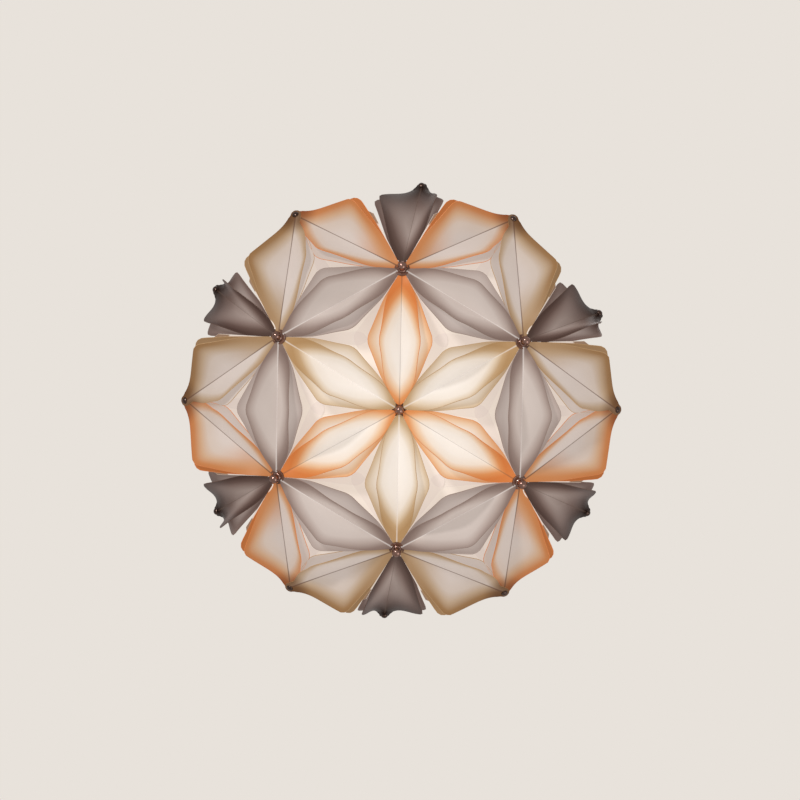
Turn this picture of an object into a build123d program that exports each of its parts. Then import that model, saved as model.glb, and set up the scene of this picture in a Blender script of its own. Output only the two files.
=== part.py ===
"""Flush mount ceiling light: a dome of folded, translucent petals pinned together by ball studs.

Millimetres and degrees. The origin is the centre of the ceiling face, +Z points up into the ceiling
and the dome hangs towards -Z. Seen from below with +X to the right, +Y points down the view.

Nineteen hubs stand where the corners of equilateral triangles meet: one at the centre, a flat ring of
six, six between hubs that fold back towards the ceiling, and six rim hubs at the free ends of the rim
petals. A petal spans every pair of neighbouring hubs, and is a stack of folded sheets.
"""
from build123d import *
from math import asin, atan2, cos, degrees, hypot, radians, sin, tan
import os

os.makedirs("parts", exist_ok=True)

# Dome
petal_length = 186.0  # from one hub centre to the next
dome_drop = 168.0  # ceiling to the plane of the seven inner hub centres
outer_fold = 33.6  # the outer triangles fold back from that plane by this much
rim_slope = 50.5  # rim petals fall back towards the ceiling by this much
ring_hub_tilt = 28.0
between_hub_tilt = 46.0
ring_roll = 7.5  # petals on the ring's sides turn outwards about their crease
between_roll = 15.0
rim_lean = (11.0, 12.0, -1.0, 9.0, -5.0, 0.5)  # rim petals hang a little askew on their one hub
rim_roll = (15.5, 25.0, -1.0, 12.0, -15.0, 7.0)

# Sheets
sheet = 0.8
sheet_gap = 0.3
leaf_width = 62.0  # crease to mid corner, measured along the sheet
blank_width = 80.0  # each half of a sheet before it is cut to its outline
corner_radius = 15.0
corner_cuts = 3  # straight cuts that round a corner
centre_folds = (48.0, 65.0)  # how far each half of the middle and top leaf lifts
ring_folds = (46.0, 63.0)
between_folds = (38.5, 50.0)
rim_middle_fold = 41.0
rim_top_folds = (51.0, 58.0, 51.0, 48.0, 59.0, 60.0)
white_outer_lift = 13.0  # free halves of the outer white leaves, from the level of their crease

# Tongues and hubs
tongue_start = 8.0  # from the hub's axis to the end of a leaf
tongue_half = 3.0
tongue_root = 13.0  # a leaf widens from here on
tongue_root_half = 3.6
tongue_clearance = 0.4
hub_radius = 11.0
hub_foot_radius = 7.0
hub_top = 1.0
hub_bottom = -12.0
hub_sides = 10
shank_sides = 8
stud_shank = 2.0  # radius of the M4 shanks
stud_bore = 2.1
stud_depth = 6.0
collar_radius = 5.5
collar_height = 2.0
ball_radius = 6.2
ball_neck = 4.0

# Frame that carries the dome
frame_sheet = 2.0
ring_width = 17.0
ring_inset = 7.0  # from the ceiling plate's edge to the ring's
frame_ring_z = -10.3  # middle of its thickness
arm_overlap = 15.0  # of an arm with the ring
arm_width = 12.0
foot_half = 9.0
head_radius = 3.8
head_height = 2.4
screw_reach = 5.0  # length of a frame screw inside its hub
magnet_count = 3
magnet_radius = 8.0
magnet_gap = 0.3

# Ceiling plate
plate_sheet = 1.5
plate_radius = 110.0
plate_rim = 10.0
dish_radius = 14.0
dish_depth = 3.0
inlet_radius = 8.0
grommet_bore = 4.0
grommet_lip = 2.5
grommet_lip_height = 1.5
slot_spacing = 120.0
slot_length = 14.0
slot_width = 5.2

# Lamp bracket, lampholder and lamp
bracket_z = -21.0
bracket_width = 26.0
leg_inner = 30.0
leg_foot = 14.0
leg_hole = 38.0
holder_radius = 19.5
holder_length = 38.0
holder_neck = 8.0
holder_neck_length = 7.0
holder_cavity = 15.0
holder_cavity_depth = 26.0
nipple_radius = 5.0
nipple_hole = 5.2
nut_across = 17.0
nut_height = 3.0
shell_outer = 14.6
shell_inner = 13.6
shell_length = 22.0
shell_inset = 1.0
cap_radius = 13.2
cap_nib = 3.0
cap_seat = 2.0  # the lamp's shoulder stands off the holder's rim by this much
contact_radius = 4.0
contact_height = 1.5
contact_gap = 0.3
bulb_radius = 19.0
bulb_length = 56.0
bulb_collar = 16.0
bulb_collar_height = 6.0

# Terminals
block_size = (20.0, 34.0, 15.0)
block_radius = 62.0
terminal_pitch = 10.0
terminal_screw = 2.2
terminal_clearance = 0.1
terminal_well = 5.0
terminal_sunk = 1.0
earth_radius = 70.0
earth_angle = 120.0
screw_short = 0.2  # screw tips end this far inside the sheet they go through

down = Vector(0, 0, -1)


def radial(angle):
    return Vector(cos(radians(angle)), sin(radians(angle)), 0)


def save(builder, name):
    builder.part.label = name
    export_step(builder.part, f"parts/{name}.step")


def save_group(solids, name):
    group = Compound(label=name, children=solids)
    export_step(group, f"parts/{name}.step")


def ribbon(path, thickness):
    """Corners of a strip of even thickness that follows a line of points in its plane."""
    points = [Vector(*p) for p in path]
    runs = [(b - a).normalized() for a, b in zip(points, points[1:])]
    normals = [Vector(-r.Y, r.X) for r in runs]
    one_side, other_side = [], []
    for point, n1, n2 in zip(points, normals[:1] + normals, normals + normals[-1:]):
        mitre = (n1 + n2) / (1 + n1.dot(n2)) * thickness / 2
        one_side.append(point + mitre)
        other_side.insert(0, point - mitre)
    return [(p.X, p.Y) for p in one_side + other_side]


# Hub positions
ring_angles = [-90.0 + 60.0 * k for k in range(6)]
ring_middle = petal_length * cos(radians(30))
centre_hub = Vector(0, 0, -dome_drop)
ring_hubs = [centre_hub + radial(a) * petal_length for a in ring_angles]
between_out = ring_middle * (1 + cos(radians(outer_fold)))
between_up = ring_middle * sin(radians(outer_fold))
between_hubs = [centre_hub + radial(a + 30) * between_out - down * between_up for a in ring_angles]
rim_out = petal_length * cos(radians(rim_slope))
rim_up = petal_length * sin(radians(rim_slope))
rim_hubs = [
    hub + radial(a + lean) * rim_out - down * rim_up
    for hub, a, lean in zip(ring_hubs, ring_angles, rim_lean)
]


class Petal:
    """The frame of one petal: x along its crease, z along its mean normal, towards the room."""

    def __init__(self, start, end, away, roll, folds, neighbours=(), level=None):
        along = (end - start).normalized()
        facing = (down - along * down.dot(along)).normalized()
        outward = facing.cross(along)
        if outward.dot(away) < 0:
            outward = -outward
        self.hubs = (start, end)
        self.normal = facing * cos(radians(roll)) + outward * sin(radians(roll))
        self.frame = Plane(origin=start, x_dir=along, z_dir=self.normal)
        self.folds = folds
        self.level = level
        self.white_folds = [white_outer_lift + roll] * 2
        for neighbour in neighbours:
            local = self.frame.to_local_coords(neighbour)
            self.white_folds[0 if local.Y < 0 else 1] = degrees(atan2(local.Z, abs(local.Y)))


centre_petals = []
ring_petals = []
between_petals = []
rim_petals = []
for k, angle in enumerate(ring_angles):
    here, after, before = ring_hubs[k], ring_hubs[(k + 1) % 6], ring_hubs[k - 1]
    beyond = between_hubs[k]
    outwards, clockwise = radial(angle + 30), radial(angle + 90)
    centre_petals.append(
        Petal(centre_hub, here, clockwise, 0, centre_folds, (after, before), k % 3)
    )
    ring_petals.append(
        Petal(here, after, outwards, ring_roll, ring_folds, (centre_hub, beyond), (k + 2) % 3)
    )
    between_petals.append(
        Petal(here, beyond, outwards, between_roll, between_folds, (after,), (k + 1) % 3)
    )
    between_petals.append(
        Petal(after, beyond, outwards, between_roll, between_folds, (here,), k % 3)
    )
    rim_folds = (rim_middle_fold, rim_top_folds[k])
    rim_petals.append(Petal(here, rim_hubs[k], -clockwise, rim_roll[k], rim_folds))


# Heights of the creases above the chord between two hubs
def half_at_crease(fold):
    return sheet / 2 / cos(radians(fold))


def stack_heights(folds):
    """Crease height of each leaf, the flattest one first, so that nested leaves clear each other."""
    heights = [sheet_gap / 2 + half_at_crease(folds[0])]
    for below, fold in zip(folds, folds[1:]):
        heights.append(heights[-1] + half_at_crease(below) + sheet_gap + half_at_crease(fold))
    return heights


def white_depth(level):
    """How far the middle of a white leaf lies behind the plane through three hub centres."""
    return (sheet + sheet_gap) / 2 + level * (sheet + sheet_gap)


def white_crease(folds, level):
    """Where the planes of the two halves of a white leaf meet, in the petal's cross-section."""
    low, high = (radians(f) for f in folds)
    normals = Vector(sin(low), cos(low)), Vector(-sin(high), cos(high))
    mitre = (normals[0] + normals[1]) / (1 + normals[0].dot(normals[1]))
    return mitre * -white_depth(level)


def leaf_outline(folds):
    """Outline of a leaf on the petal's mean plane, given how far its two halves lift from it."""
    middle = petal_length / 2
    rise, run = leaf_width - corner_radius - tongue_root_half, middle - tongue_root
    slope = atan2(rise, run) + asin(corner_radius / hypot(rise, run))
    turns = [slope * (1 - 2 * cut / corner_cuts) for cut in range(corner_cuts + 1)]
    corner = [
        (middle - corner_radius * sin(turn), leaf_width - corner_radius * (1 - cos(turn)))
        for turn in turns
    ]
    half = [
        (tongue_start, tongue_half),
        (tongue_root, tongue_root_half),
        *corner,
        (petal_length - tongue_root, tongue_root_half),
        (petal_length - tongue_start, tongue_half),
    ]
    low, high = (cos(radians(fold)) for fold in folds)
    return [(x, -y * low) for x, y in half[::-1]] + [(x, y * high) for x, y in half]


def folded_leaf(petal, folds, crease):
    """A sheet folded along its crease and cut to an outline drawn on the petal's mean plane."""
    low, high = (radians(f) for f in folds)
    y, z = crease
    path = [
        (y - blank_width * cos(low), z + blank_width * sin(low)),
        (y, z),
        (y + blank_width * cos(high), z + blank_width * sin(high)),
    ]
    frame = petal.frame
    with BuildPart() as leaf:
        with BuildSketch(Plane(origin=frame.origin, x_dir=frame.y_dir, z_dir=frame.x_dir)):
            with BuildLine():
                Polyline(*ribbon(path, sheet), close=True)
            make_face()
        extrude(amount=petal_length)
        with BuildSketch(frame):
            with BuildLine():
                Polyline(*leaf_outline(folds), close=True)
            make_face()
        extrude(amount=petal_length / 2, both=True, mode=Mode.INTERSECT)
    return leaf


def coloured_leaf(petal, layer):
    """The middle (0) or top (1) leaf of a petal."""
    fold = petal.folds[layer]
    return folded_leaf(petal, (fold, fold), (0, stack_heights(petal.folds)[layer]))


def white_leaf(petal):
    crease = white_crease(petal.white_folds, petal.level)
    return folded_leaf(petal, petal.white_folds, (crease.X, crease.Y))


# The top leaf of each petal is a part of its own
families = {"centre": centre_petals, "ring": ring_petals, "between": between_petals, "rim": rim_petals}
for name, petals in families.items():
    for number, petal in enumerate(petals, 1):
        save(coloured_leaf(petal, 1), f"{name}_petal_{number}")

# Middle leaves, by colour. Petals of even ring hubs are orange and those of odd ones are beige.
orange, beige = [], []
for k in range(6):
    (beige if k % 2 else orange).append(centre_petals[k])
    (beige if k % 2 else orange).append(between_petals[2 * k])
    (orange if k % 2 else beige).append(between_petals[2 * k + 1])
colours = {"orange": orange, "beige": beige, "grey": ring_petals, "rim": rim_petals}
for name, petals in colours.items():
    save_group([coloured_leaf(petal, 0).part for petal in petals], f"{name}_middle_leaves")

# White leaves close the dome behind the coloured ones
save_group([white_leaf(p).part for p in centre_petals + ring_petals], "inner_white_leaves")
save_group([white_leaf(p).part for p in between_petals], "outer_white_leaves")


def pocket_floor(petal):
    """The lowest point of the tongues in a pocket, less their clearance."""
    if petal.level is None:
        return -sheet_gap / 2
    deepest = white_crease(petal.white_folds, 3).Y - sheet
    drop = tongue_root_half * tan(radians(max(0, *(-f for f in petal.white_folds))))
    return deepest - drop - sheet_gap


def hub(centre, normal, petals):
    """A tapered boss with a pocket for the tongues of each petal and a bore for its stud."""
    hub_height = hub_top - hub_bottom
    with BuildPart() as boss:
        with BuildSketch(Plane(origin=centre + normal * hub_top, z_dir=-normal)):
            RegularPolygon(hub_radius, hub_sides)
        extrude(amount=hub_height, taper=degrees(atan2(hub_radius - hub_foot_radius, hub_height)))
        with BuildSketch(Plane(origin=centre, z_dir=normal).offset(hub_bottom)):
            RegularPolygon(stud_bore, shank_sides)
        extrude(amount=hub_height, mode=Mode.SUBTRACT)
        for petal in petals:
            frame = petal.frame
            at_end = (petal.hubs[1] - centre).length < 1
            along = -frame.x_dir if at_end else frame.x_dir
            section = Plane(origin=centre, x_dir=frame.z_dir.cross(along), z_dir=along)
            floor = pocket_floor(petal)
            with BuildSketch(section.offset(tongue_start - tongue_clearance)):
                with Locations((0, (floor + hub_radius) / 2)):
                    Rectangle(2 * (tongue_root_half + tongue_clearance), hub_radius - floor)
            extrude(amount=hub_radius, mode=Mode.SUBTRACT)
    return boss.part


def tilted(angle, tilt):
    return radial(angle) * sin(radians(tilt)) + down * cos(radians(tilt))


hub_planes = [(centre_hub, down)]
hub_planes += [(h, tilted(a, ring_hub_tilt)) for h, a in zip(ring_hubs, ring_angles)]
hub_planes += [(h, tilted(a + 30, between_hub_tilt)) for h, a in zip(between_hubs, ring_angles)]
hub_planes += [(petal.hubs[1], petal.normal) for petal in rim_petals]
all_petals = centre_petals + ring_petals + between_petals + rim_petals
hubs = [
    hub(centre, normal, [p for p in all_petals if min((h - centre).length for h in p.hubs) < 1])
    for centre, normal in hub_planes
]
save_group(hubs[:7], "inner_hubs")
save_group(hubs[7:], "outer_hubs")

# Ball studs: a screw shank, a collar that covers the ends of the tongues and a ball
ball_centre = hub_top + collar_height + ball_radius * 0.8
ball_turns = [
    (ball_centre + ball_radius * sin(radians(turn)), ball_radius * cos(radians(turn)))
    for turn in (-16, 20, 60)
]
with BuildPart() as stud:
    for height, radius in [(hub_top, collar_radius), (hub_top + collar_height, ball_neck), *ball_turns]:
        with BuildSketch(Plane.XY.offset(height)):
            RegularPolygon(radius, hub_sides)
    loft(ruled=True)
    with BuildSketch(Plane.XY.offset(hub_top)):
        RegularPolygon(stud_shank, shank_sides)
    extrude(amount=-stud_depth)
studs = [Plane(origin=c, z_dir=n) * stud.part for c, n in hub_planes]
save_group(studs, "ball_studs")

# Frame: a ring under the ceiling plate with an arm to each hub of the flat ring
frame_ring_outer = plate_radius - ring_inset
frame_ring_inner = frame_ring_outer - ring_width
with BuildPart() as shade_frame:
    with BuildSketch(Plane.XY.offset(frame_ring_z - frame_sheet / 2)):
        Circle(frame_ring_outer)
        Circle(frame_ring_inner, mode=Mode.SUBTRACT)
    extrude(amount=frame_sheet)
    for k, angle in enumerate(ring_angles):
        foot = ring_hubs[k] + hub_planes[1 + k][1] * (hub_bottom - frame_sheet / 2)
        foot_r, foot_z = foot.dot(radial(angle)), foot.Z
        slope = radians(ring_hub_tilt)
        side = Plane(origin=(0, 0, 0), x_dir=radial(angle), z_dir=radial(angle - 90))
        with BuildSketch(side.offset(-arm_width / 2)):
            with BuildLine():
                Polyline(
                    *ribbon(
                        [
                            (frame_ring_outer - arm_overlap, frame_ring_z),
                            (frame_ring_outer, frame_ring_z),
                            (foot_r - foot_half * cos(slope), foot_z - foot_half * sin(slope)),
                            (foot_r + foot_half * cos(slope), foot_z + foot_half * sin(slope)),
                        ],
                        frame_sheet,
                    ),
                    close=True,
                )
            make_face()
        extrude(amount=arm_width)
        with BuildSketch(Plane(origin=foot, z_dir=hub_planes[1 + k][1])):
            Circle(stud_bore)
        extrude(amount=frame_sheet, both=True, mode=Mode.SUBTRACT)
save(shade_frame, "shade_frame")

# Screws that hold the ring hubs on the arms' feet
with BuildPart() as frame_screw:
    with BuildSketch(Plane.XY.offset(hub_bottom - frame_sheet - head_height)):
        RegularPolygon(head_radius, 6)
    extrude(amount=head_height)
    with BuildSketch(Plane.XY.offset(hub_bottom - frame_sheet)):
        RegularPolygon(stud_shank, shank_sides)
    extrude(amount=frame_sheet + screw_reach)
frame_screws = [Plane(origin=c, z_dir=n) * frame_screw.part for c, n in hub_planes[1:7]]
save_group(frame_screws, "frame_screws")

# Pot magnets on the frame's ring hold it up against the steel ceiling plate
magnet_base = frame_ring_z + frame_sheet / 2
magnet_circle = (frame_ring_inner + frame_ring_outer) / 2
with BuildPart() as catch_magnets:
    with BuildSketch(Plane.XY.offset(magnet_base)):
        with PolarLocations(magnet_circle, magnet_count, start_angle=-60):
            Circle(magnet_radius)
    extrude(amount=-plate_sheet - magnet_gap - magnet_base)
save(catch_magnets, "catch_magnets")

# Ceiling plate: pressed sheet with a dished cable inlet and a turned-down rim
with BuildPart() as ceiling_plate:
    with BuildSketch(Plane.XZ):
        with BuildLine():
            Polyline(
                *ribbon(
                    [
                        (inlet_radius, -dish_depth - plate_sheet / 2),
                        (dish_radius, -dish_depth - plate_sheet / 2),
                        (dish_radius, -plate_sheet / 2),
                        (plate_radius - plate_sheet / 2, -plate_sheet / 2),
                        (plate_radius - plate_sheet / 2, -plate_rim),
                    ],
                    plate_sheet,
                ),
                close=True,
            )
        make_face()
    revolve()
    with BuildSketch(Plane.XY.offset(-plate_sheet)):
        with Locations((0, -slot_spacing / 2), (0, slot_spacing / 2)):
            SlotOverall(slot_length, slot_width, rotation=90)
        with Locations((-leg_hole, 0), (leg_hole, 0)):
            Circle(stud_bore)
        with Locations(radial(earth_angle) * earth_radius):
            Circle(stud_bore)
    extrude(amount=plate_sheet, mode=Mode.SUBTRACT)
save(ceiling_plate, "ceiling_plate")

# Rubber grommet in the cable inlet
with BuildPart() as cable_grommet:
    with BuildSketch(Plane.XZ):
        with BuildLine():
            Polyline(
                (grommet_bore, -dish_depth + grommet_lip_height),
                (inlet_radius + grommet_lip, -dish_depth + grommet_lip_height),
                (inlet_radius + grommet_lip, -dish_depth),
                (inlet_radius, -dish_depth),
                (inlet_radius, -dish_depth - plate_sheet),
                (inlet_radius + grommet_lip, -dish_depth - plate_sheet),
                (inlet_radius + grommet_lip, -dish_depth - plate_sheet - grommet_lip_height),
                (grommet_bore, -dish_depth - plate_sheet - grommet_lip_height),
                close=True,
            )
        make_face()
    revolve()
save(cable_grommet, "cable_grommet")

# Lamp bracket: a bridge across the cable inlet, with the lampholder in its middle
bridge = [
    (leg_inner + leg_foot, -plate_sheet * 1.5),
    (leg_inner, -plate_sheet * 1.5),
    (leg_inner, bracket_z),
]
with BuildPart() as lamp_bracket:
    with BuildSketch(Plane.XZ.offset(-bracket_width / 2)):
        with BuildLine():
            Polyline(*ribbon(bridge + [(-x, z) for x, z in bridge[::-1]], plate_sheet), close=True)
        make_face()
    extrude(amount=bracket_width)
    with BuildSketch(Plane.XY.offset(bracket_z - plate_sheet)):
        Circle(nipple_hole)
    extrude(amount=plate_sheet * 2, mode=Mode.SUBTRACT)
    with BuildSketch(Plane.XY.offset(-plate_sheet * 2)):
        with Locations((-leg_hole, 0), (leg_hole, 0)):
            Circle(stud_bore)
    extrude(amount=plate_sheet, mode=Mode.SUBTRACT)
save(lamp_bracket, "lamp_bracket")

with BuildPart() as bracket_screws:
    with BuildSketch(Plane.XY.offset(-plate_sheet * 2)):
        with Locations((-leg_hole, 0), (leg_hole, 0)):
            RegularPolygon(head_radius, 6)
    extrude(amount=-head_height)
    with BuildSketch(Plane.XY.offset(-plate_sheet * 2)):
        with Locations((-leg_hole, 0), (leg_hole, 0)):
            RegularPolygon(stud_shank, shank_sides)
    extrude(amount=plate_sheet * 2 - screw_short)
save(bracket_screws, "bracket_screws")

# The lampholder hangs from the bracket on its nipple
holder_top = bracket_z - plate_sheet / 2
holder_mouth = holder_top - holder_neck_length - holder_length
cavity_top = holder_mouth + holder_cavity_depth
nut_bottom = bracket_z + plate_sheet / 2
with BuildPart() as lampholder:
    with BuildSketch(Plane.XZ):
        with BuildLine():
            Polyline(
                (0, nut_bottom + nut_height),
                (nipple_radius, nut_bottom + nut_height),
                (nipple_radius, holder_top),
                (holder_neck, holder_top),
                (holder_neck, holder_top - holder_neck_length),
                (holder_radius, holder_top - holder_neck_length),
                (holder_radius, holder_mouth),
                (holder_cavity, holder_mouth),
                (holder_cavity, cavity_top),
                (0, cavity_top),
                close=True,
            )
        make_face()
    revolve()
save(lampholder, "lampholder")

with BuildPart() as lampholder_nut:
    with BuildSketch(Plane.XY.offset(nut_bottom)):
        RegularPolygon(nut_across / 2, 6, major_radius=False)
        Circle(nipple_hole, mode=Mode.SUBTRACT)
    extrude(amount=nut_height)
save(lampholder_nut, "lampholder_nut")

with BuildPart() as screw_shell:
    with BuildSketch(Plane.XY.offset(cavity_top - shell_inset)):
        Circle(shell_outer)
        Circle(shell_inner, mode=Mode.SUBTRACT)
    extrude(amount=-shell_length)
save(screw_shell, "screw_shell")

with BuildPart() as centre_contact:
    with BuildSketch(Plane.XY.offset(cavity_top)):
        Circle(contact_radius)
    extrude(amount=-contact_height)
save(centre_contact, "centre_contact")

# Lamp: a screw cap with its contact, and a short opal tube on a collar
shoulder = holder_mouth - cap_seat
cap_top = cavity_top - contact_height - contact_gap
with BuildPart() as lamp_cap:
    with BuildSketch(Plane.XY.offset(shoulder)):
        Circle(cap_radius)
    extrude(amount=cap_top - cap_nib - shoulder)
    with BuildSketch(Plane.XY.offset(cap_top - cap_nib)):
        Circle(contact_radius)
    extrude(amount=cap_nib)
save(lamp_cap, "lamp_cap")

with BuildPart() as lamp_bulb:
    with BuildSketch(Plane.XY.offset(shoulder)):
        Circle(bulb_collar)
    extrude(amount=-bulb_collar_height)
    with BuildSketch(Plane.XY.offset(shoulder - bulb_collar_height)):
        Circle(bulb_radius)
    extrude(amount=bulb_collar_height - bulb_length)
save(lamp_bulb, "lamp_bulb")

# Terminals
with BuildPart() as terminal_block:
    with BuildSketch(Plane.XY.offset(-plate_sheet)):
        with Locations((block_radius, 0)):
            Rectangle(block_size[0], block_size[1])
    extrude(amount=-block_size[2])
    with BuildSketch(Plane.XY.offset(-plate_sheet - block_size[2])):
        with Locations((block_radius, 0)):
            with GridLocations(0, terminal_pitch, 1, 3):
                Circle(terminal_screw)
    extrude(amount=terminal_well, mode=Mode.SUBTRACT)
save(terminal_block, "terminal_block")

with BuildPart() as terminal_screws:
    with BuildSketch(Plane.XY.offset(-plate_sheet - block_size[2] + terminal_sunk)):
        with Locations((block_radius, 0)):
            with GridLocations(0, terminal_pitch, 1, 3):
                Circle(terminal_screw - terminal_clearance)
    extrude(amount=terminal_well - terminal_sunk)
save(terminal_screws, "terminal_screws")

with BuildPart() as earth_screw:
    with BuildSketch(Plane.XY.offset(-plate_sheet)):
        with Locations(radial(earth_angle) * earth_radius):
            RegularPolygon(head_radius, 6)
    extrude(amount=-head_height)
    with BuildSketch(Plane.XY.offset(-plate_sheet)):
        with Locations(radial(earth_angle) * earth_radius):
            RegularPolygon(stud_shank, shank_sides)
    extrude(amount=plate_sheet - screw_short)
save(earth_screw, "earth_screw")
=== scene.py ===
import math
import bpy
import numpy as np
from mathutils import Matrix, Vector


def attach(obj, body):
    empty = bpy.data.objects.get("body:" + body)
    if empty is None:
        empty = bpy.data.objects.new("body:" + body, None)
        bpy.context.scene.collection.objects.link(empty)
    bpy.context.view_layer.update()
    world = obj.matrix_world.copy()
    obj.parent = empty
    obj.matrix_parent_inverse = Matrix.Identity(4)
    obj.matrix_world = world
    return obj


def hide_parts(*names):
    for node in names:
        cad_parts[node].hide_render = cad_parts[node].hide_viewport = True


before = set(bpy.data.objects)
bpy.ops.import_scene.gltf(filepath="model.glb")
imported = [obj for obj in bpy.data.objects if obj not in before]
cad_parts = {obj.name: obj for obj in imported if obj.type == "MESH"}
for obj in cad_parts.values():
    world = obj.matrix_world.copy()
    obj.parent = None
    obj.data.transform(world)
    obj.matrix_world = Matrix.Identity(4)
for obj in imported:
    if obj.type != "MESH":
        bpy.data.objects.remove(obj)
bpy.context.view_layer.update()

# Lengths below are in millimetres and angles in degrees; meshes are written in metres.
MM = 0.001

# Dome
petal_length = 186.0
dome_drop = 168.0
outer_fold = 33.6
rim_slope = 50.5
ring_hub_tilt = 28.0
between_hub_tilt = 46.0
ring_roll = 7.5
between_roll = 15.0
rim_lean = (11.0, 12.0, -1.0, 9.0, -5.0, 0.5)
rim_roll = (15.5, 25.0, -1.0, 12.0, -15.0, 7.0)

# Sheets
sheet = 0.8
sheet_gap = 0.3
leaf_width = 62.0
corner_radius = 15.0
rim_corner_radius = 9.0
centre_folds = (48.0, 65.0)
ring_folds = (46.0, 63.0)
between_folds = (38.5, 50.0)
rim_middle_fold = 41.0
rim_top_folds = (51.0, 58.0, 51.0, 48.0, 59.0, 60.0)
white_outer_lift = 13.0
white_outer_width = 50.0  # the free halves of the outer white leaves are trimmed to this
white_start = 10.5  # how far from its hubs a white leaf starts and ends
tab_shade_reach = 245.0  # beyond this from the dome's middle, a trimmed half is painted brown, as painted shade where the lamp's light doesn't reach

# A leaf's rounded tongue, and how it opens from flat at the hub to its full fold
tongue_half = 7.4
tongue_root = 13.0
tongue_start = 6.7  # where six petals meet; elsewhere a tongue ends in a lobe round the stud
lobe_share = 0.98  # how much of a lobe's round end is drawn
end_rounding = 4.0
least_half = 1.2
flat_length = 8.0
opening_length = 60.0
sector_share = 0.575  # half of the space between two tongues, for each millimetre from the hub
belly = 0.03  # how far a half bows, as a share of its width
fold_round = 0.35
layer_step = sheet + sheet_gap
tongue_heights = (0.55, 0.55 + layer_step)
flare_round = 8.0  # how gently a lobe runs out into the leaf's free edge
flare_slope = 0.75
flare_fade = 6.0

# Hubs and studs
hub_radius = 10.4
hub_foot_radius = 7.5
hub_bottom = -12.0
hub_top = -0.2
hub_round = 1.2
outer_hub_taper = 1.5
outer_hub_radius = 6.4
stud_top = 13.33
ball_radius = 6.4
ball_foot_radius = 5.6
ball_foot_round = 0.7
button_radius = 4.8
button_crown = 5.3  # the radius of its domed top
shank_radius = 2.0
shank_low = -6.0

# Meshes
stations_count = 49
outline_count = 400
half_cells = np.array([0, 0.015, 0.04, 0.1, 0.2, 0.32, 0.45, 0.58, 0.71, 0.84, 0.94, 1.0])
rim_cell = 0.5

down = np.array([0.0, 0.0, -1.0])


def unit(v):
    return v / np.linalg.norm(v)


def radial(angle):
    return np.array([math.cos(math.radians(angle)), math.sin(math.radians(angle)), 0.0])


# Hub positions
ring_angles = [-90.0 + 60.0 * k for k in range(6)]
ring_middle = petal_length * math.cos(math.radians(30))
centre_hub = down * dome_drop
ring_hubs = [centre_hub + radial(a) * petal_length for a in ring_angles]
between_out = ring_middle * (1 + math.cos(math.radians(outer_fold)))
between_up = ring_middle * math.sin(math.radians(outer_fold))
between_hubs = [centre_hub + radial(a + 30) * between_out - down * between_up for a in ring_angles]
rim_out = petal_length * math.cos(math.radians(rim_slope))
rim_up = petal_length * math.sin(math.radians(rim_slope))
rim_hubs = [
    hub + radial(a + lean) * rim_out - down * rim_up
    for hub, a, lean in zip(ring_hubs, ring_angles, rim_lean)
]


class Petal:
    """The frame of one petal: along its crease, across it, and its mean normal towards the room."""

    def __init__(
        self, start, end, away, roll, folds, neighbours=(), level=None, steps=(0, 0), free_end=False
    ):
        self.start, self.end = start, end
        self.along = unit(end - start)
        facing = unit(down - self.along * down.dot(self.along))
        outward = np.cross(facing, self.along)
        if outward.dot(away) < 0:
            outward = -outward
        turn = math.radians(roll)
        self.normal = facing * math.cos(turn) + outward * math.sin(turn)
        self.across = np.cross(self.normal, self.along)
        self.outer_side = 1 if self.across.dot(outward) > 0 else -1
        self.folds = folds
        self.level = level
        self.steps = steps
        self.free_end = free_end
        self.corner = corner_radius if neighbours else rim_corner_radius
        self.alone = not neighbours
        self.neighbours = [None, None]
        self.white_folds = [white_outer_lift + roll] * 2
        for neighbour in neighbours:
            y = (neighbour - start).dot(self.across)
            z = (neighbour - start).dot(self.normal)
            half = 0 if y < 0 else 1
            self.white_folds[half] = math.degrees(math.atan2(z, abs(y)))
            self.neighbours[half] = neighbour


centre_petals, ring_petals, between_petals, rim_petals = [], [], [], []
for k, angle in enumerate(ring_angles):
    here, after, before = ring_hubs[k], ring_hubs[(k + 1) % 6], ring_hubs[k - 1]
    beyond = between_hubs[k]
    outwards, clockwise = radial(angle + 30), radial(angle + 90)
    centre_petals.append(Petal(centre_hub, here, clockwise, 0, centre_folds, (after, before), k % 3))
    ring_petals.append(
        Petal(here, after, outwards, ring_roll, ring_folds, (centre_hub, beyond), (k + 2) % 3)
    )
    for start, third, level in ((here, after, (k + 1) % 3), (after, here, k % 3)):
        beige = (k + (start is after)) % 2
        steps = (1, 2) if beige else (0, 1)
        between_petals.append(
            Petal(start, beyond, outwards, between_roll, between_folds, (third,), level, steps, True)
        )
    folds = (rim_middle_fold, rim_top_folds[k])
    rim_petals.append(Petal(here, rim_hubs[k], -clockwise, rim_roll[k], folds, free_end=True))


# Shape of a leaf
def half_width(s, corner):
    """Half width of a leaf, measured along the sheet, at distances s along its crease."""
    near = np.minimum(s, petal_length - s)
    end = tongue_half * np.sqrt(np.clip(1 - (np.minimum(near, 0) / tongue_half) ** 2, 0, 1))
    rise = leaf_width - corner - tongue_half
    run = petal_length / 2 - tongue_root
    slope = math.atan2(rise, run) + math.asin(corner / math.hypot(rise, run))
    straight = tongue_half + (near - tongue_root) * math.tan(slope)
    from_middle = petal_length / 2 - near
    arc = leaf_width - corner + np.sqrt(np.clip(corner**2 - from_middle**2, 0, None))
    body = np.where(from_middle > corner * math.sin(slope), straight, arc)
    return np.where(near < tongue_root, end, body)


def opening(s):
    """How far a leaf has opened, from 0 at its hubs to 1 in the middle."""
    reach = s * (petal_length - s) / petal_length
    full = 1 - math.exp((flat_length - petal_length / 4) / opening_length)
    return np.clip((1 - np.exp((flat_length - reach) / opening_length)) / full, 0, 1)


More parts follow.
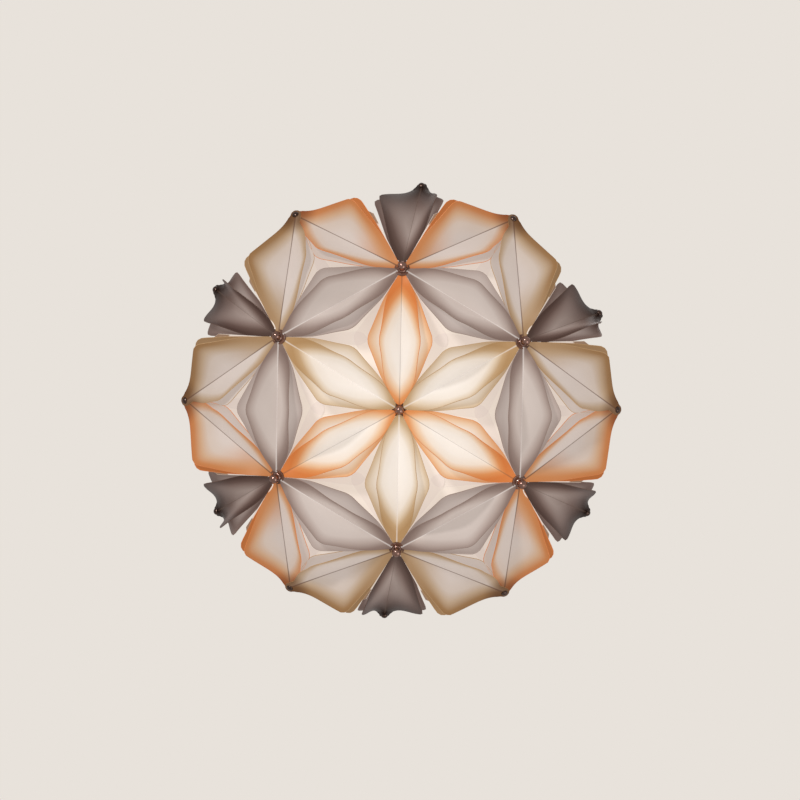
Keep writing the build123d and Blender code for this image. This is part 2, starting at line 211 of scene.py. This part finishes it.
def flare(s):
    """What the curve from a lobe into a free edge adds to the half width there."""
    near = petal_length - s
    away = np.abs(near - tongue_root) * flare_slope
    return flare_round * np.log1p(np.exp(-away / flare_round)) * np.clip(near / flare_fade, 0, 1)


def outline_distance(stations, width, across):
    """Distance from a half's outline, eased where two stretches of it are equally near."""
    s = np.linspace(stations[0], stations[-1], outline_count)
    w = np.interp(s, stations, width)
    step = np.hypot(np.gradient(s), np.gradient(w))
    distance = np.hypot(stations[:, None, None] - s, across[..., None] - w) + 0.2
    return np.sqrt(2 / np.sum(step / distance**3, axis=-1))


def half_at_crease(fold):
    return sheet / 2 / math.cos(math.radians(fold))


def stack_heights(folds):
    low = sheet_gap / 2 + half_at_crease(folds[0])
    return low, low + half_at_crease(folds[0]) + sheet_gap + half_at_crease(folds[1])


def stations_of(petal):
    """Places along a leaf's crease, closer together at its ends."""
    last = petal_length + lobe_share * tongue_half if petal.free_end else petal_length - tongue_start
    turns = np.linspace(0, math.pi, stations_count)
    return (tongue_start + last) / 2 - (last - tongue_start) / 2 * np.cos(turns)


class Leaf:
    """A folded sheet on a grid of points, with what its colours are worked out from."""

    def __init__(self, petal, stations, lifts, crease_across, crease_height, coloured):
        rows = stations[:, None]
        near = np.minimum(stations, petal_length - stations)
        crowded = stations < petal_length / 2 if petal.free_end else near > 0
        ends = stations - stations[0], stations[-1] - stations
        from_end = np.minimum(*ends)
        rounding = np.sqrt(np.clip(1 - (1 - from_end / end_rounding) ** 2, 0, 1)) ** 0.6
        halves = []
        for side, lift in zip((-1, 1), lifts):
            lift = np.radians(np.broadcast_to(lift, stations.shape))
            width = half_width(stations, petal.corner)
            outer_half = petal.free_end and side == petal.outer_side
            if outer_half and not coloured:
                width = np.minimum(width, white_outer_width)
            if coloured and (outer_half or petal.alone):
                width = width + np.where(stations > petal_length / 2, flare(stations), 0)
            if coloured:
                sector = sector_share * near / np.cos(lift) * np.where(from_end < end_rounding, rounding, 1)
                width = np.where(crowded, np.minimum(width, sector), width)
            width = np.maximum(width, least_half)
            across = np.hstack([half_cells * (width[:, None] - rim_cell), width[:, None]])
            share = across / width[:, None]
            bow = -belly * width[:, None] * np.sin(math.pi * share) * opening(rows)
            sin, cos = np.sin(lift)[:, None], np.cos(lift)[:, None]
            rounded = fold_round * (np.sqrt(across**2 + 1) - across) * np.abs(sin)
            y = crease_across + side * (across * cos - bow * sin)
            z = np.reshape(crease_height, (-1, 1)) + across * sin + bow * cos + rounded
            halves.append((side * across, y, z, outline_distance(stations, width, across)))
        joined = [np.hstack([low[:, :0:-1], high]) for low, high in zip(*halves)]
        self.across, y, z, self.edge = joined
        self.along = np.broadcast_to(rows, y.shape)
        self.middle = np.broadcast_to(opening(rows), y.shape)
        self.points = (
            petal.start + self.along[..., None] * petal.along
            + y[..., None] * petal.across + z[..., None] * petal.normal
        )
        self.outside = np.where(self.across * petal.outer_side > 0, 1.0, 0.0)
        self.over = np.full((2,) + y.shape, -leaf_width)
        for half, third in enumerate(petal.neighbours):
            if third is None:
                continue
            chosen = self.across < 0 if half == 0 else self.across >= 0
            for n, corner in enumerate((petal.start, petal.end)):
                run = unit(third - corner)
                offset = self.points - corner
                s = offset @ run
                w = np.linalg.norm(offset - s[..., None] * run, axis=-1)
                covered = half_width(s, petal.corner) - w
                self.over[n] = np.where(chosen, covered, self.over[n])


def coloured_leaf(petal, layer):
    stations = stations_of(petal)
    opened = opening(stations)
    lift = petal.folds[layer] * opened
    step = petal.steps[layer] * layer_step
    at_hub = tongue_heights[layer] + np.where(stations > petal_length / 2, step, 0)
    height = at_hub + (stack_heights(petal.folds)[layer] - at_hub) * opened
    return Leaf(petal, stations, (lift, lift), 0.0, height, True)


def white_leaf(petal):
    low, high = (math.radians(f) for f in petal.white_folds)
    first = np.array([math.sin(low), math.cos(low)])
    second = np.array([-math.sin(high), math.cos(high)])
    depth = layer_step / 2 + petal.level * layer_step
    crease = -depth * (first + second) / (1 + first.dot(second))
    stations = stations_of(petal)
    ends = white_start, petal_length - white_start
    stations = np.interp(stations, (stations[0], stations[-1]), ends)
    return Leaf(petal, stations, petal.white_folds, crease[0], np.full(stations.shape, crease[1]), False)


def make_piece(name, points, faces, materials, indices=None):
    mesh = bpy.data.meshes.new(name)
    mesh.from_pydata([tuple(p) for p in np.asarray(points) * MM], [], faces)
    for material in materials:
        mesh.materials.append(material)
    if indices is not None:
        mesh.polygons.foreach_set("material_index", indices)
    mesh.shade_smooth()
    piece = bpy.data.objects.new(name, mesh)
    bpy.context.scene.collection.objects.link(piece)
    return piece


def sheet_piece(name, leaves, materials, choice=None):
    """One piece of one or more leaves, with a material for each and another for the cut edge."""
    points, faces, indices = [], [], []
    keys = ("edge", "across", "along", "middle", "outside", "over_1", "over_2")
    values = {key: [] for key in keys}
    for number, leaf in enumerate(leaves):
        rows, columns = leaf.across.shape
        base = sum(len(p) for p in points)
        points.append(leaf.points.reshape(-1, 3))
        for i in range(rows - 1):
            for j in range(columns - 1):
                a = base + i * columns + j
                faces.append((a, a + columns, a + columns + 1, a + 1))
                indices.append(choice[number] if choice else 0)
        arrays = (leaf.edge, leaf.across, leaf.along, leaf.middle, leaf.outside, *leaf.over)
        for key, array in zip(values, arrays):
            values[key].append(array.ravel())
    piece = make_piece(name, np.vstack(points), faces, materials, indices)
    for key, arrays in values.items():
        attribute = piece.data.attributes.new(key, "FLOAT", "POINT")
        attribute.data.foreach_set("value", np.concatenate(arrays).astype(np.float32))
    solid = piece.modifiers.new("thickness", "SOLIDIFY")
    solid.thickness = sheet * MM
    solid.offset = 0
    solid.material_offset_rim = len(materials) - 1  # a number past the last slot means the last
    return piece


# Materials
def linear(colour):
    """Linear colour from 0-255 values as seen on screen."""
    values = [c / 255 for c in colour]
    return [v / 12.92 if v <= 0.04045 else ((v + 0.055) / 1.055) ** 2.4 for v in values] + [1.0]


class Shader:
    """A material and the few kinds of node that the materials here need."""

    def __init__(self, name, **sockets):
        self.material = bpy.data.materials.new(name)
        self.material.use_nodes = True
        self.nodes = self.material.node_tree.nodes
        self.links = self.material.node_tree.links
        self.surface = self.nodes["Principled BSDF"]
        for key, value in sockets.items():
            self.surface.inputs[key.replace("_", " ").title().replace("Ior", "IOR")].default_value = value

    def give(self, socket, value):
        if isinstance(value, bpy.types.NodeSocket):
            self.links.new(value, socket)
        elif value is not None:
            socket.default_value = value

    def math(self, operation, *values, clamp=False):
        made = self.nodes.new("ShaderNodeMath")
        made.operation = operation
        made.use_clamp = clamp
        for socket, value in zip(made.inputs, values):
            self.give(socket, value)
        return made.outputs[0]

    def mix(self, factor, first, second, blend="MIX"):
        made = self.nodes.new("ShaderNodeMix")
        made.data_type = "RGBA"
        made.blend_type = blend
        self.give(made.inputs[0], factor)
        self.give(made.inputs[6], first)
        self.give(made.inputs[7], second)
        return made.outputs[2]

    def attribute(self, name):
        made = self.nodes.new("ShaderNodeAttribute")
        made.attribute_name = name
        return made.outputs["Fac"]

    def noise(self, scale, detail=3.0):
        made = self.nodes.new("ShaderNodeTexNoise")
        made.inputs["Scale"].default_value = scale
        made.inputs["Detail"].default_value = detail
        place = self.nodes.new("ShaderNodeTexCoord").outputs["Object"]
        self.links.new(place, made.inputs["Vector"])
        return made.outputs["Fac"]

    def ramp(self, factor, stops, smooth="EASE"):
        made = self.nodes.new("ShaderNodeValToRGB")
        made.color_ramp.interpolation = smooth
        elements = made.color_ramp.elements
        while len(elements) < len(stops):
            elements.new(0.5)
        for element, (position, colour) in zip(elements, stops):
            element.position = position
            element.color = colour
        self.give(made.inputs[0], factor)
        return made.outputs[0]

    def spread(self, value, low, high):
        """From 0 where the value is low to 1 where it is high, smoothly."""
        made = self.nodes.new("ShaderNodeMapRange")
        made.interpolation_type = "SMOOTHSTEP"
        self.give(made.inputs["Value"], value)
        made.inputs["From Min"].default_value = low
        made.inputs["From Max"].default_value = high
        return made.outputs[0]

    def bump(self, height, strength, distance):
        made = self.nodes.new("ShaderNodeBump")
        made.inputs["Strength"].default_value = strength
        made.inputs["Distance"].default_value = distance
        self.give(made.inputs["Height"], height)
        self.links.new(made.outputs[0], self.surface.inputs["Normal"])


ramp_places = (0.0, 9.0, 18.0, 28.0, 42.0)  # distances from the outline of a ramp's colours
reflected = 0.45  # what a lit sheet reflects, and what shines through it, of the colour it shows
transmitted = 0.55
white_glow = 1.2  # the white sheets let more light through
gloss_tint = (255, 234, 214)
# Painted shade on the white sheets' unlit tabs.
tab_shade_brown = (156, 128, 106)
# White sheets, painted light: brighter near the dome's middle, dimmer further out.
centre_white = (248, 238, 226)
outer_white = (232, 220, 210)
even = (1.0, 1.0, 1.0)
# The default crease line, a painted shade.
fine_crease_shade = (0.4, (90, 72, 62))
sheet_gloss = {"roughness": 0.45, "specular_ior_level": 0.3}


def layered(dye, light, layers):
    """The colour of a light behind so many layers of a dye."""
    return [c * share**layers for c, share in zip(light, dye)]


def dyed(dye, light, reach, outline=1.0, middle=0.0):
    """Colours at the ramp's places: the dye thins out over reach mm, from outline to middle layers."""
    left = [math.exp(-((place / reach) ** 2)) for place in ramp_places]
    return [layered(dye, light, middle + (outline - middle) * share) for share in left]


def leaf_colours(shader, stops, shift):
    reach = shader.math("ADD", shader.attribute("edge"), shift)
    reach = shader.math("DIVIDE", reach, ramp_places[-1], clamp=True)
    places = [p / ramp_places[-1] for p in ramp_places]
    return shader.ramp(reach, [(p, linear(c)) for p, c in zip(places, stops)], "LINEAR")


def lit_sheet(shader, colour, glow=1.0):
    """Gives a sheet's colour to what it reflects and to the light that comes through it."""
    cloud = shader.ramp(shader.noise(14.0, 2.0), [(0.3, (0.955, 0.95, 0.945, 1)), (0.7, (1, 1, 1, 1))])
    colour = shader.mix(1.0, colour, cloud, "MULTIPLY")
    share = [reflected] * 3 + [1.0]
    shader.give(shader.surface.inputs["Base Color"], shader.mix(1.0, colour, share, "MULTIPLY"))
    shader.give(shader.surface.inputs["Emission Color"], colour)
    shader.surface.inputs["Emission Strength"].default_value = transmitted * glow
    shader.surface.inputs["Specular Tint"].default_value = linear(gloss_tint)
    shader.bump(shader.noise(900.0, 2.0), 0.05, 0.0002)


def leaf_material(
    name, inner, outer=None, near=None, gain=9.0, loss=0.0, far=even, tip=even, crease=fine_crease_shade
):
    """A coloured sheet: stops run from the outline to the crease, for the inner and the outer half.

    A leaf's middle shows the colour its ends show gain mm further in, and its far end the colour
    loss mm further out. near is mixed into the outer half at the hub it starts from. far and tip
    are the shares of each colour left at the far end and on a free tip, painted shade that darkens
    the leaf away from the lamp, and crease how strongly its crease line shows in which colour,
    a painted shade where dark and a painted highlight where pale.
    """
    shader = Shader(name, **sheet_gloss)
    along = shader.attribute("along")
    further = shader.spread(along, 60.0, 165.0)
    shift = shader.math("MULTIPLY", shader.attribute("middle"), gain)
    shift = shader.math("SUBTRACT", shift, shader.math("MULTIPLY", further, loss))
    colour = leaf_colours(shader, inner, shift)
    if outer:
        other = leaf_colours(shader, outer, shift)
        if near:
            nearer = shader.math("MULTIPLY_ADD", shader.spread(along, 35.0, 95.0), -0.6, 0.6)
            other = shader.mix(nearer, other, linear(near))
        colour = shader.mix(shader.attribute("outside"), colour, other)
    # Painted shade at the far end, and below on a free tip, away from the lamp.
    colour = shader.mix(further, colour, shader.mix(1.0, colour, [*far, 1.0], "MULTIPLY"))
    if tip != even:
        ending = shader.spread(along, 150.0, 180.0)
        colour = shader.mix(ending, colour, shader.mix(1.0, colour, [*tip, 1.0], "MULTIPLY"))
    # A painted line along the crease: painted shade where its colour is dark, a painted highlight where it
    # is pale.
    away = shader.math("ABSOLUTE", shader.attribute("across"))
    line = shader.math("SUBTRACT", 1.0, shader.spread(away, 0.5, 1.5))
    strength, line_colour = crease
    colour = shader.mix(shader.math("MULTIPLY", line, strength), colour, linear(line_colour))
    lit_sheet(shader, colour)
    return shader.material


def edge_material(name, colour):
    shader = Shader(name, roughness=0.3)
    lit_sheet(shader, linear(colour))
    return shader.material


def white_material(name, middle, ends, shaded_tabs=False):
    """A white sheet with painted light and shade: brighter near the dome's middle, a little darker where
    others lie over it, and with or without shaded brown tabs.
    """
    shader = Shader(name, **sheet_gloss)
    reach = shader.attribute("reach")
    # Painted light: brighter near the dome's middle, dimmer further out.
    shown = shader.mix(shader.spread(reach, 20.0, 190.0), linear(middle), linear(ends))
    # Painted shade where other white sheets lie over this one.
    overlap_shade = (0.95, 0.94, 0.955, 1)
    for key in ("over_1", "over_2"):
        covered = shader.math("GREATER_THAN", shader.attribute(key), 0.0)
        shown = shader.mix(covered, shown, shader.mix(1.0, shown, overlap_shade, "MULTIPLY"))
    # Painted shade: brown beyond the reach where the lamp's light stops.
    if shaded_tabs:
        beyond = shader.spread(reach, tab_shade_reach - 1.5, tab_shade_reach + 1.5)
        shown = shader.mix(beyond, shown, linear(tab_shade_brown))
    lit_sheet(shader, shown, white_glow)
    return shader.material


# Dyes, as the share of red, green and blue that one layer lets through
orange_dye = (0.9, 0.55, 0.3)
beige_dye = (0.75, 0.62, 0.45)
grey_dye = (0.56, 0.49, 0.47)
smoke_dye = (0.38, 0.3, 0.28)

# The light behind the sheets at the centre, further out and at the rim
centre_light = (246, 238, 230)
outer_light = (214, 202, 195)
rim_light = (180, 165, 158)

# How far in from the outline a dye reaches in mm, and layers of dye other than one
thin, narrow, wide, deep = 5.0, 10.0, 16.0, 25.0
tinted, weak, strong = 0.4, 0.7, 1.5

orange_centre = dyed(orange_dye, centre_light, wide)
beige_centre = dyed(beige_dye, centre_light, wide)
grey_inner = dyed(grey_dye, outer_light, deep)
grey_outer = dyed(grey_dye, outer_light, wide)
orange_inner = dyed(orange_dye, outer_light, narrow)
orange_outer = dyed(orange_dye, outer_light, wide)
beige_inner = dyed(beige_dye, outer_light, narrow)
beige_outer = dyed(beige_dye, outer_light, wide, strong)
smoke = dyed(smoke_dye, rim_light, deep)
orange_middle = dyed(orange_dye, centre_light, wide, weak)
beige_middle = dyed(beige_dye, centre_light, wide, weak)
grey_middle = dyed(grey_dye, outer_light, wide, tinted)
orange_between_inner = dyed(orange_dye, outer_light, thin, weak)
orange_between_outer = dyed(orange_dye, outer_light, deep, middle=tinted)
beige_between_inner = dyed(beige_dye, outer_light, thin, weak)
beige_between_outer = dyed(beige_dye, outer_light, deep, middle=tinted)
smoke_middle = dyed(smoke_dye, outer_light, deep, weak)
orange_near = layered(orange_dye, outer_light, weak)
beige_near = layered(beige_dye, outer_light, weak)

# Shares of colour left at a far end or free tip: painted shade, darker away from the lamp.
dark_shaded_end = (0.5, 0.43, 0.41)
dim_shaded_end = (0.6, 0.57, 0.56)
faint_shaded_end = (0.95, 0.93, 0.91)
# Crease lines: a pale painted highlight and a dark painted shade.
pale_crease_highlight = (0.45, (246, 240, 236))
dark_crease_shade = (0.7, (92, 60, 44))
centre = {"gain": 17.0, "loss": 16.0, "far": faint_shaded_end}
between = {"gain": 4.0, "far": faint_shaded_end, "tip": dark_shaded_end, "crease": dark_crease_shade}
top_materials = {
    "centre_orange": leaf_material("sheet_orange", orange_centre, **centre),
    "centre_beige": leaf_material("sheet_beige", beige_centre, crease=pale_crease_highlight, **centre),
    "ring": leaf_material("sheet_grey", grey_inner, grey_outer, gain=12.0, crease=pale_crease_highlight),
    "between_orange": leaf_material(
        "sheet_orange_outer", orange_inner, orange_outer, orange_near, **between),
    "between_beige": leaf_material(
        "sheet_beige_outer", beige_inner, beige_outer, beige_near, **between),
    "rim": leaf_material("sheet_smoke", smoke, gain=6.0, far=dark_shaded_end, tip=dark_shaded_end),
}
middle_materials = {
    "centre_orange": leaf_material("middle_orange", orange_middle, far=faint_shaded_end),
    "centre_beige": leaf_material("middle_beige", beige_middle, far=faint_shaded_end),
    "ring": leaf_material("middle_grey", grey_middle),
    "between_orange": leaf_material(
        "middle_orange_outer", orange_between_inner, orange_between_outer, tip=dark_shaded_end),
    "between_beige": leaf_material(
        "middle_beige_outer", beige_between_inner, beige_between_outer, tip=dark_shaded_end),
    "rim": leaf_material("middle_smoke", smoke_middle, far=dim_shaded_end, tip=dark_shaded_end),
}
edges = {
    "petal_orange": edge_material("edge_orange", layered(orange_dye, centre_light, 1.0)),
    "petal_beige": edge_material("edge_beige", layered(beige_dye, centre_light, 1.0)),
    "petal_grey": edge_material("edge_grey", layered(grey_dye, centre_light, 1.0)),
    "petal_smoke": edge_material("edge_smoke", layered(smoke_dye, centre_light, 1.0)),
    "petal_smoke_light": edge_material("edge_smoke_light", layered(smoke_dye, centre_light, weak)),
    "petal_white": edge_material("edge_white", outer_white),
}

# Top leaves, and the middle leaves by colour
families = {"centre": centre_petals, "ring": ring_petals, "between": between_petals, "rim": rim_petals}
groups = {
    "orange": ("petal_orange", "petal_orange", ("centre_orange", "between_orange")),
    "beige": ("petal_beige", "petal_beige", ("centre_beige", "between_beige")),
    "grey": ("petal_grey", "petal_grey", ("ring",)),
    "rim": ("petal_smoke", "petal_smoke_light", ("rim",)),
}
middle_leaves = {group: [] for group in groups}
middle_choice = {group: [] for group in groups}
for family, petals in families.items():
    for number, petal in enumerate(petals, 1):
        k = number // 2 if family == "between" else number - 1
        group = {"ring": "grey", "rim": "rim"}.get(family, ("orange", "beige")[k % 2])
        top_slot, middle_slot, kinds = groups[group]
        kind = f"{family}_{group}" if f"{family}_{group}" in kinds else family
        node = f"{family}_petal_{number}"
        materials = [top_materials[kind], edges[top_slot]]
        piece = sheet_piece(f"{node}_sheet", [coloured_leaf(petal, 1)], materials)
        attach(piece, "shade")
        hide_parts(node)
        middle_leaves[group].append(coloured_leaf(petal, 0))
        middle_choice[group].append(kinds.index(kind))

for group, (top_slot, middle_slot, kinds) in groups.items():
    materials = [middle_materials[kind] for kind in kinds] + [edges[middle_slot]]
    piece = sheet_piece(f"{group}_middle_sheets", middle_leaves[group], materials, middle_choice[group])
    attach(piece, "shade")
    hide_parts(f"{group}_middle_leaves")

# White leaves
white_groups = {
    "inner_white_leaves": (
        centre_petals + ring_petals, white_material("sheet_white", centre_white, outer_white)),
    "outer_white_leaves": (
        between_petals, white_material("sheet_white_outer", outer_white, outer_white, shaded_tabs=True)),
}
for node, (petals, material) in white_groups.items():
    piece = sheet_piece(node.replace("leaves", "sheets"), [white_leaf(p) for p in petals],
                        [material, edges["petal_white"]])
    places = np.array([v.co for v in piece.data.vertices]) / MM
    reach = np.max([places @ radial(a) for a in ring_angles], axis=0)
    piece.data.attributes.new("reach", "FLOAT", "POINT").data.foreach_set("value", reach.astype(np.float32))
    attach(piece, "shade")
    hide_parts(node)


# Turned pieces
def arc_points(centre, radius, start, end, count):
    """Points (radius, height) on an arc of a turned profile."""
    turns = np.radians(np.linspace(start, end, count))
    return [(centre[0] + radius * math.cos(t), centre[1] + radius * math.sin(t)) for t in turns]


def turned(name, profile, frames, material, segments=40):
    """Copies of a turned profile, each about the axis of one frame (centre, axis)."""
    points, faces = [], []
    for centre, axis in frames:
        side = unit(np.cross(axis, (1.0, 0.0, 0.0) if abs(axis[0]) < 0.7 else (0.0, 1.0, 0.0)))
        other = np.cross(axis, side)
        base = len(points)
        for radius, height in profile:
            for n in range(segments):
                turn = 2 * math.pi * n / segments
                points.append(
                    centre + axis * height + radius * (math.cos(turn) * side + math.sin(turn) * other)
                )
        for i in range(len(profile) - 1):
            for n in range(segments):
                m = (n + 1) % segments
                a, b = base + i * segments, base + (i + 1) * segments
                faces.append((a + n, a + m, b + m, b + n))
        faces.append(tuple(base + n for n in range(segments))[::-1])
        faces.append(tuple(base + (len(profile) - 1) * segments + n for n in range(segments)))
    return make_piece(name, points, faces, [material])


def tilted(angle, tilt):
    return radial(angle) * math.sin(math.radians(tilt)) + down * math.cos(math.radians(tilt))


hub_planes = [(centre_hub, down)]
hub_planes += [(h, tilted(a, ring_hub_tilt)) for h, a in zip(ring_hubs, ring_angles)]
hub_planes += [(h, tilted(a + 30, between_hub_tilt)) for h, a in zip(between_hubs, ring_angles)]
hub_planes += [(petal.end, petal.normal) for petal in rim_petals]


def solid_material(name, colour, roughness, metallic=0.0, wear=0.12, grain=60.0, bump=0.1, emission=0.0):
    """A solid finish with a little cloud and wear in its colour and an uneven gloss."""
    shader = Shader(name, metallic=metallic)
    cloud = shader.noise(grain)
    worn = linear([c * (1 - wear) for c in colour])
    shown = shader.ramp(cloud, [(0.35, worn), (0.65, linear(colour))])
    shader.give(shader.surface.inputs["Base Color"], shown)
    gloss = shader.spread(shader.noise(grain * 4), 0.2, 0.8)
    rough = shader.math("MULTIPLY_ADD", gloss, roughness * 0.4, roughness * 0.8)
    shader.give(shader.surface.inputs["Roughness"], rough)
    if emission:
        shader.give(shader.surface.inputs["Emission Color"], shown)
        shader.surface.inputs["Emission Strength"].default_value = emission
    shader.bump(shader.noise(grain * 15, 2.0), bump, 0.0002)
    return shader.material


hub_brown = solid_material("hub_brown", (104, 66, 50), 0.35)
smoked_metal = solid_material("smoked_metal", (150, 118, 108), 0.2, 1.0, grain=30.0, bump=0.01)
# The outer studs get a darker copy of the smoked metal: painted shade.
shaded_button_metal = solid_material("shaded_button_metal", (86, 70, 64), 0.25, 1.0, grain=30.0, bump=0.01)
white_steel = solid_material("white_steel", (226, 222, 214), 0.42, wear=0.05, grain=25.0, bump=0.25)
zinc_steel = solid_material("zinc_steel", (176, 176, 172), 0.34, 1.0, grain=120.0)
magnet_steel = solid_material("magnet_steel", (150, 150, 152), 0.28, 1.0, grain=90.0)
grommet_rubber = solid_material("grommet_rubber", (44, 42, 41), 0.7, grain=200.0)
holder_plastic = solid_material("holder_plastic", (228, 224, 214), 0.45, wear=0.05, grain=40.0)
contact_brass = solid_material("contact_brass", (196, 158, 84), 0.3, 1.0, grain=150.0)
cap_aluminium = solid_material("cap_aluminium", (196, 196, 194), 0.3, 1.0, grain=100.0)
opal_glass = solid_material(
    "opal_glass", (250, 244, 232), 0.25, wear=0.02, grain=20.0, bump=0.02, emission=0.45)


def hub_profile(top_radius, foot_radius):
    shoulder = arc_points((top_radius - hub_round, hub_top - hub_round), hub_round, -15, 90, 7)
    return [(foot_radius, hub_bottom)] + shoulder + [(3.0, hub_top)]


hub_groups = {
    "inner_hubs": (hub_planes[:7], hub_profile(hub_radius, hub_foot_radius)),
    "outer_hubs": (hub_planes[7:], hub_profile(outer_hub_radius, outer_hub_radius - outer_hub_taper)),
}
for node, (frames, profile) in hub_groups.items():
    piece = turned(node.replace("hubs", "bosses"), profile, frames, hub_brown)
    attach(piece, "shade")
    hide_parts(node)

ball_centre = stud_top - ball_radius
ball_foot = -0.1
ball_profile = (
    [(shank_radius, shank_low), (shank_radius, ball_foot), (ball_foot_radius, ball_foot)]
    + arc_points((ball_foot_radius, ball_foot + ball_foot_round), ball_foot_round, -60, 60, 5)
    + arc_points((0.0, ball_centre), ball_radius, -50, 88, 24)
)
button_base = tongue_heights[1] + 2 * layer_step + sheet / 2
button_sink = 2.2  # how far below its base the centre of a button's domed top lies
button_profile = (
    [(shank_radius, shank_low), (shank_radius, button_base), (button_radius, button_base)]
    + arc_points((0.0, button_base - button_sink), button_crown, 30, 88, 10)
)
studs = {
    "ball_stud_heads": (ball_profile, hub_planes[:7], smoked_metal),
    "button_stud_heads": (button_profile, hub_planes[7:], shaded_button_metal),
}
for name, (profile, frames, finish) in studs.items():
    piece = turned(name, profile, frames, finish, 32)
    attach(piece, "shade")
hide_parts("ball_studs")

# Lamp: an opal tube with a rounded end on a narrower collar
collar_top, collar_low, bulb_tip = -68.75, -74.75, -124.75
collar_radius, collar_round, bulb_radius = 16.0, 0.6, 19.0
shoulder_round, shoulder_drop, end_round, end_flat = 1.6, 0.2, 7.0, 6.0
shoulder_radius = bulb_radius - shoulder_round
bulb_profile = (
    [(10.0, collar_top), (collar_radius - collar_round, collar_top)]
    + [(collar_radius, collar_top - 0.55), (collar_radius, collar_low)]
    + [(shoulder_radius, collar_low - shoulder_drop)]
    + arc_points((shoulder_radius, collar_low - shoulder_drop - shoulder_round), shoulder_round, 90, 0, 6)
    + arc_points((bulb_radius - end_round, bulb_tip + end_round), end_round, 0, -90, 14)
    + [(end_flat, bulb_tip)]
)
piece = turned("opal_bulb", [(r, -h) for r, h in bulb_profile], [(np.zeros(3), down)], opal_glass, 64)
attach(piece, "lamp")
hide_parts("lamp_bulb")

# Finishes of the pieces that stay as they are built
finishes = {
    white_steel: ("ceiling_plate", "lamp_bracket", "shade_frame"),
    zinc_steel: ("frame_screws", "bracket_screws", "lampholder_nut", "earth_screw", "terminal_screws"),
    magnet_steel: ("catch_magnets",),
    grommet_rubber: ("cable_grommet",),
    holder_plastic: ("lampholder", "terminal_block"),
    contact_brass: ("screw_shell", "centre_contact"),
    cap_aluminium: ("lamp_cap",),
}
for material, nodes in finishes.items():
    for node in nodes:
        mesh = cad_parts[node].data
        mesh.materials.clear()
        mesh.materials.append(material)


# Stage
def aim(item, place, target):
    item.location = place
    item.rotation_mode = "QUATERNION"
    item.rotation_quaternion = (Vector(target) - Vector(place)).to_track_quat("-Z", "Y")


world = bpy.data.worlds.new("room")
bpy.context.scene.world = world
world.use_nodes = True
nodes, links = world.node_tree.nodes, world.node_tree.links
nodes.clear()
path = nodes.new("ShaderNodeLightPath")
seen = nodes.new("ShaderNodeMath")
seen.operation = "MAXIMUM"
links.new(path.outputs["Is Camera Ray"], seen.inputs[0])
links.new(path.outputs["Is Transmission Ray"], seen.inputs[1])
ambient = nodes.new("ShaderNodeBackground")
ambient.inputs["Color"].default_value = linear((236, 234, 232))
ambient.inputs["Strength"].default_value = 0.75
backdrop = nodes.new("ShaderNodeBackground")
backdrop.inputs["Color"].default_value = linear((232, 226, 219))
choose = nodes.new("ShaderNodeMixShader")
links.new(seen.outputs[0], choose.inputs[0])
links.new(ambient.outputs[0], choose.inputs[1])
links.new(backdrop.outputs[0], choose.inputs[2])
output = nodes.new("ShaderNodeOutputWorld")
links.new(choose.outputs[0], output.inputs["Surface"])

floor_level = -2600.0
floor_half = 60000.0
floor_paint = solid_material("floor_paint", (244, 239, 232), 0.6, wear=0.02, grain=3.0)
corners = [(x * floor_half, y * floor_half, floor_level) for x, y in ((-1, -1), (1, -1), (1, 1), (-1, 1))]
floor = make_piece("floor", corners, [(0, 1, 2, 3)], [floor_paint])

# Each lamp's place and size in metres, and its power in watts
lamps = {
    "key": ((-0.9, -1.1, -2.0), 0.35, 26.0),
    "fill": ((1.3, 0.9, -1.5), 1.2, 8.0),
    "above": ((0.4, -0.9, 1.3), 1.6, 6.0),
}
lamp_target = (0, 0, -0.1)
for name, (place, size, power) in lamps.items():
    light = bpy.data.lights.new(name, "AREA")
    light.size = size
    light.energy = power
    item = bpy.data.objects.new(name, light)
    bpy.context.scene.collection.objects.link(item)
    aim(item, place, lamp_target)

# Camera, nearly straight below the dome
turned_z, turned_y, turned_x = 0.021045, 0.018874, 0.06812
turn = Matrix.Rotation(turned_z, 3, "Z") @ Matrix.Rotation(turned_y, 3, "Y")
turn = turn @ Matrix.Rotation(turned_x, 3, "X")
camera_place = (0.03798, -0.14763, -2.14296)
camera_data = bpy.data.cameras.new("camera")
camera_data.lens = 67.5
camera_data.sensor_width = 36.0
camera_data.clip_start = 0.05
camera = bpy.data.objects.new("camera", camera_data)
bpy.context.scene.collection.objects.link(camera)
axes = Matrix((turn[0], -turn[1], -turn[2])).transposed()
camera.matrix_world = Matrix.Translation(camera_place) @ axes.to_4x4()
bpy.context.scene.camera = camera

bpy.context.scene.view_settings.view_transform = "Standard"
